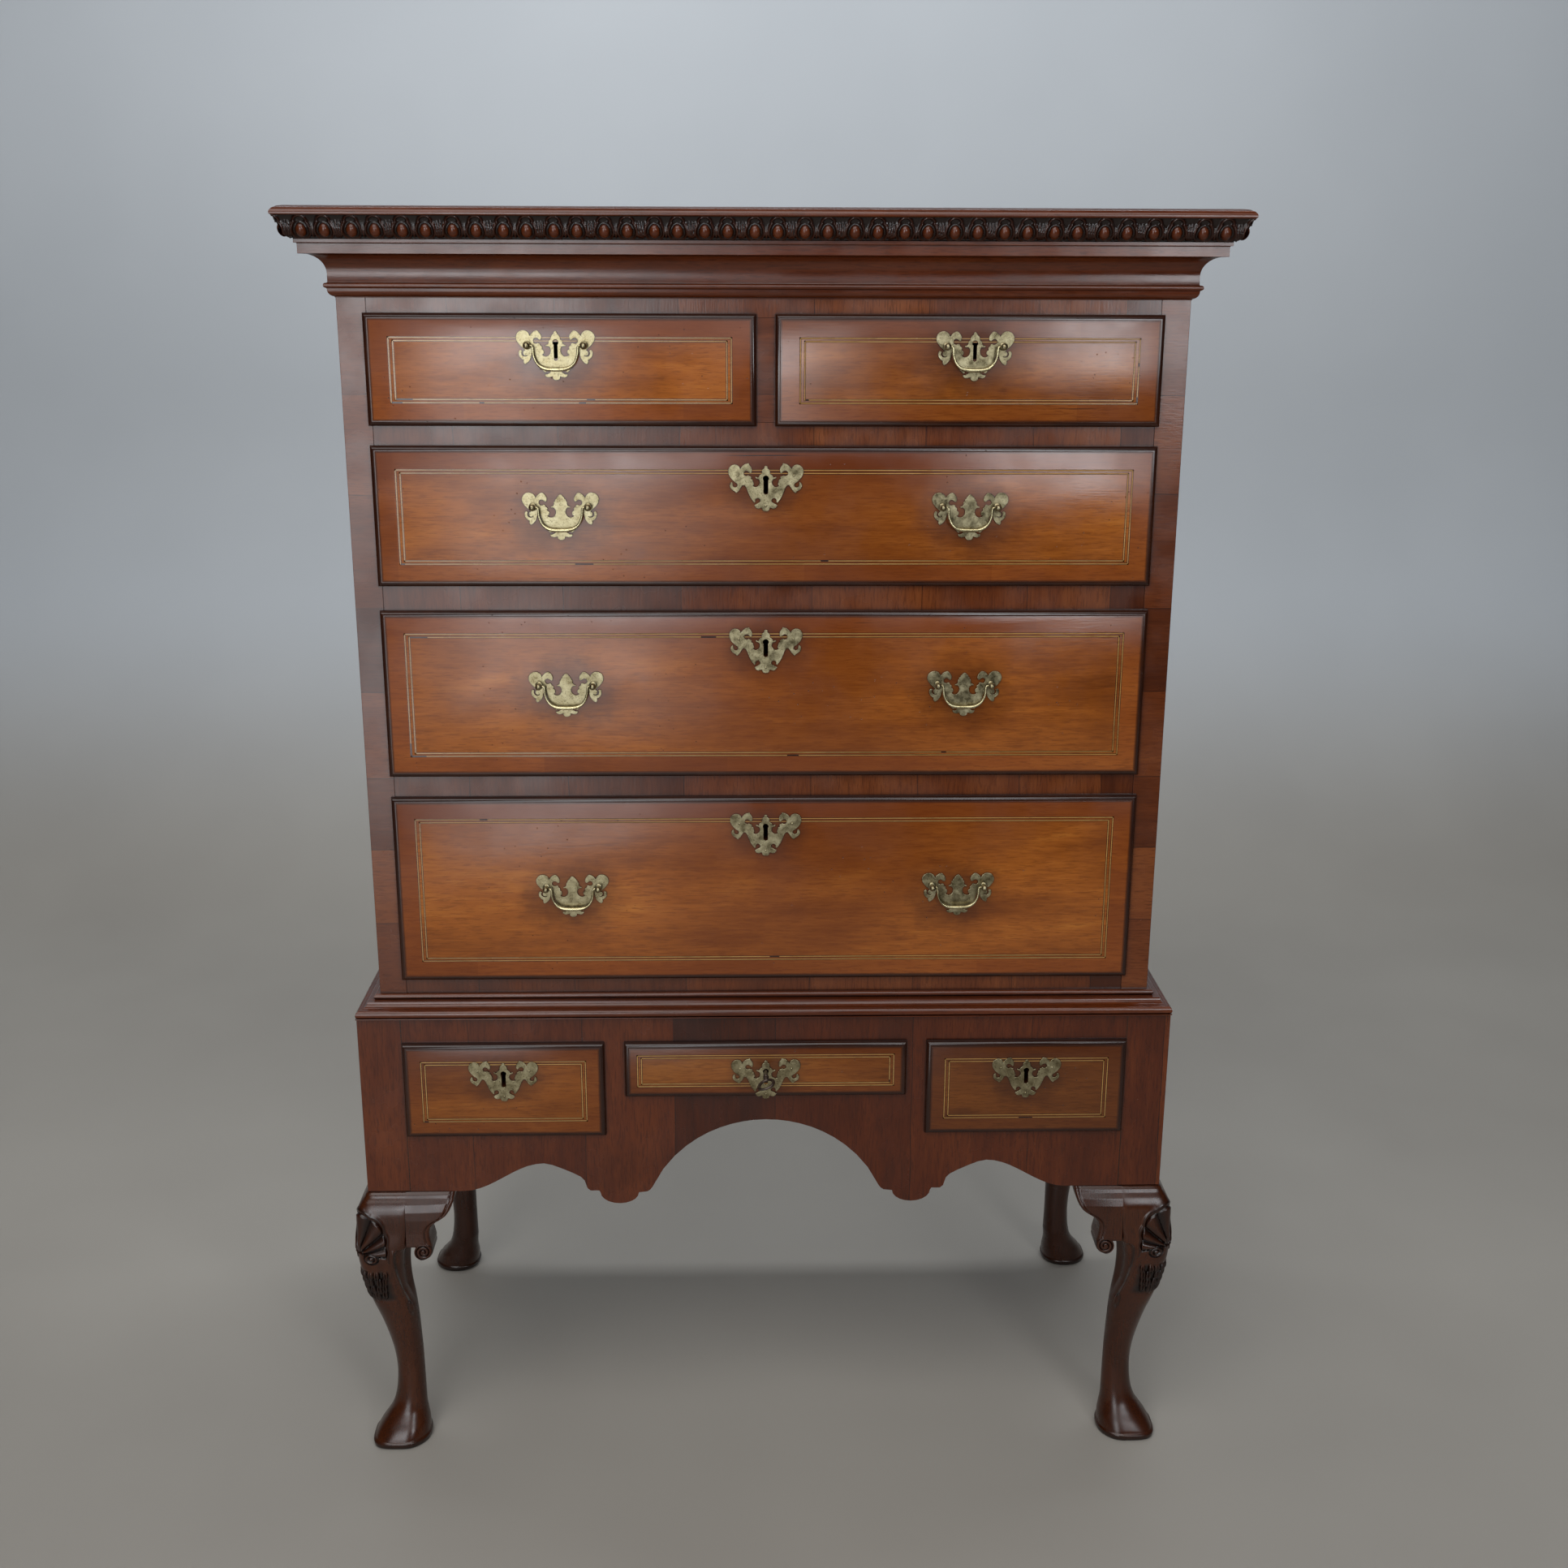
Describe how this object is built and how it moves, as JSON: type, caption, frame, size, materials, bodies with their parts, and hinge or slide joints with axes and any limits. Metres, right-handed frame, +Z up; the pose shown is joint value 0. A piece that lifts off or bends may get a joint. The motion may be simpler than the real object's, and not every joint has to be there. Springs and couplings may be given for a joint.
{
  "type": "tall chest of drawers",
  "caption": "Walnut chest of lipped drawers on a stand with drawers, carved cabriole legs, shaped apron, moulded cornice, fretted brass handles, and a key in a lock.",
  "frame": {"origin": "middle of the bounding box at floor level", "axes": "+Z up, +X to the right as seen from the front, -Y towards the person who opens the drawers"},
  "size_m": [1.069, 0.5628, 1.571],
  "materials": {
    "drawer_veneer": "figured walnut veneer, wax polish",
    "case_walnut": "cross-grained walnut veneer, wax polish",
    "dark_moulding": "dark walnut, cross-grain moulding, worn polish",
    "carved_leg": "solid dark walnut, carved, wax polish",
    "drawer_lining": "raw oak",
    "back_board": "raw pine, oxidised",
    "aged_brass": "aged yellow-green brass",
    "old_iron": "old browned iron"
  },
  "bodies": {
    "chest": {"case_back_boards": "back_board", "case_bottom_board": "case_walnut", "case_side_left": "case_walnut", "case_side_right": "case_walnut", "case_top_board": "case_walnut", "cornice_moulding": "dark_moulding", "cornice_top": "dark_moulding", "dustboard_lower": "case_walnut", "dustboard_middle": "case_walnut", "dustboard_upper": "case_walnut", "leg_back_left": "carved_leg", "leg_back_right": "carved_leg", "leg_front_left": "carved_leg", "leg_front_right": "carved_leg", "stand_back_rail": "back_board", "stand_drawer_runner_frame": "drawer_lining", "stand_front_apron": "case_walnut", "stand_side_left": "case_walnut", "stand_side_right": "case_walnut", "stand_waist_moulding": "dark_moulding", "top_drawer_divider": "case_walnut"},
    "top_left_drawer": {"top_left_drawer_box": "drawer_lining", "top_left_drawer_front": "drawer_veneer", "top_left_drawer_handle_plate": "aged_brass"},
    "top_left_drawer_bail": {"top_left_drawer_bail": "aged_brass"},
    "top_right_drawer": {"top_right_drawer_box": "drawer_lining", "top_right_drawer_front": "drawer_veneer", "top_right_drawer_handle_plate": "aged_brass"},
    "top_right_drawer_bail": {"top_right_drawer_bail": "aged_brass"},
    "lower_long_drawer": {"lower_long_drawer_box": "drawer_lining", "lower_long_drawer_escutcheon": "aged_brass", "lower_long_drawer_front": "drawer_veneer", "lower_long_drawer_left_handle_plate": "aged_brass", "lower_long_drawer_right_handle_plate": "aged_brass"},
    "lower_long_drawer_left_bail": {"lower_long_drawer_left_bail": "aged_brass"},
    "lower_long_drawer_right_bail": {"lower_long_drawer_right_bail": "aged_brass"},
    "middle_long_drawer": {"middle_long_drawer_box": "drawer_lining", "middle_long_drawer_escutcheon": "aged_brass", "middle_long_drawer_front": "drawer_veneer", "middle_long_drawer_left_handle_plate": "aged_brass", "middle_long_drawer_right_handle_plate": "aged_brass"},
    "middle_long_drawer_left_bail": {"middle_long_drawer_left_bail": "aged_brass"},
    "middle_long_drawer_right_bail": {"middle_long_drawer_right_bail": "aged_brass"},
    "upper_long_drawer": {"upper_long_drawer_box": "drawer_lining", "upper_long_drawer_escutcheon": "aged_brass", "upper_long_drawer_front": "drawer_veneer", "upper_long_drawer_left_handle_plate": "aged_brass", "upper_long_drawer_right_handle_plate": "aged_brass"},
    "upper_long_drawer_left_bail": {"upper_long_drawer_left_bail": "aged_brass"},
    "upper_long_drawer_right_bail": {"upper_long_drawer_right_bail": "aged_brass"},
    "stand_left_drawer": {"stand_left_drawer_box": "drawer_lining", "stand_left_drawer_escutcheon": "aged_brass", "stand_left_drawer_front": "drawer_veneer"},
    "stand_right_drawer": {"stand_right_drawer_box": "drawer_lining", "stand_right_drawer_escutcheon": "aged_brass", "stand_right_drawer_front": "drawer_veneer"},
    "stand_centre_drawer": {"stand_centre_drawer_box": "drawer_lining", "stand_centre_drawer_escutcheon": "aged_brass", "stand_centre_drawer_front": "drawer_veneer"},
    "key": {"key": "old_iron"}
  },
  "joints": [
    {"name": "top_left_drawer_slide", "type": "slide", "parent": "chest", "child": "top_left_drawer", "axis": [0, -1, 0], "range_m": [0, 0.365]},
    {"name": "top_left_drawer_bail_hinge", "type": "hinge", "parent": "top_left_drawer", "child": "top_left_drawer_bail", "pos_m": [-0.236, -0.2156, 1.4232], "axis": [-1, 0, 0], "range_deg": [0, 150]},
    {"name": "top_right_drawer_slide", "type": "slide", "parent": "chest", "child": "top_right_drawer", "axis": [0, -1, 0], "range_m": [0, 0.365]},
    {"name": "top_right_drawer_bail_hinge", "type": "hinge", "parent": "top_right_drawer", "child": "top_right_drawer_bail", "pos_m": [0.236, -0.2156, 1.4232], "axis": [-1, 0, 0], "range_deg": [0, 150]},
    {"name": "lower_long_drawer_slide", "type": "slide", "parent": "chest", "child": "lower_long_drawer", "axis": [0, -1, 0], "range_m": [0, 0.365]},
    {"name": "lower_long_drawer_left_bail_hinge", "type": "hinge", "parent": "lower_long_drawer", "child": "lower_long_drawer_left_bail", "pos_m": [-0.236, -0.2156, 0.7799], "axis": [-1, 0, 0], "range_deg": [0, 150]},
    {"name": "lower_long_drawer_right_bail_hinge", "type": "hinge", "parent": "lower_long_drawer", "child": "lower_long_drawer_right_bail", "pos_m": [0.236, -0.2156, 0.7799], "axis": [-1, 0, 0], "range_deg": [0, 150]},
    {"name": "middle_long_drawer_slide", "type": "slide", "parent": "chest", "child": "middle_long_drawer", "axis": [0, -1, 0], "range_m": [0, 0.365]},
    {"name": "middle_long_drawer_left_bail_hinge", "type": "hinge", "parent": "middle_long_drawer", "child": "middle_long_drawer_left_bail", "pos_m": [-0.236, -0.2156, 1.0328], "axis": [-1, 0, 0], "range_deg": [0, 150]},
    {"name": "middle_long_drawer_right_bail_hinge", "type": "hinge", "parent": "middle_long_drawer", "child": "middle_long_drawer_right_bail", "pos_m": [0.236, -0.2156, 1.0328], "axis": [-1, 0, 0], "range_deg": [0, 150]},
    {"name": "upper_long_drawer_slide", "type": "slide", "parent": "chest", "child": "upper_long_drawer", "axis": [0, -1, 0], "range_m": [0, 0.365]},
    {"name": "upper_long_drawer_left_bail_hinge", "type": "hinge", "parent": "upper_long_drawer", "child": "upper_long_drawer_left_bail", "pos_m": [-0.236, -0.2156, 1.2429], "axis": [-1, 0, 0], "range_deg": [0, 150]},
    {"name": "upper_long_drawer_right_bail_hinge", "type": "hinge", "parent": "upper_long_drawer", "child": "upper_long_drawer_right_bail", "pos_m": [0.236, -0.2156, 1.2429], "axis": [-1, 0, 0], "range_deg": [0, 150]},
    {"name": "stand_left_drawer_slide", "type": "slide", "parent": "chest", "child": "stand_left_drawer", "axis": [0, -1, 0], "range_m": [0, 0.345]},
    {"name": "stand_right_drawer_slide", "type": "slide", "parent": "chest", "child": "stand_right_drawer", "axis": [0, -1, 0], "range_m": [0, 0.345]},
    {"name": "stand_centre_drawer_slide", "type": "slide", "parent": "chest", "child": "stand_centre_drawer", "axis": [0, -1, 0], "range_m": [0, 0.345]},
    {"name": "key_turn", "type": "hinge", "parent": "stand_centre_drawer", "child": "key", "pos_m": [0, -0.2308, 0.5425], "axis": [0, 1, 0], "range_deg": [-90, 90]}
  ]
}
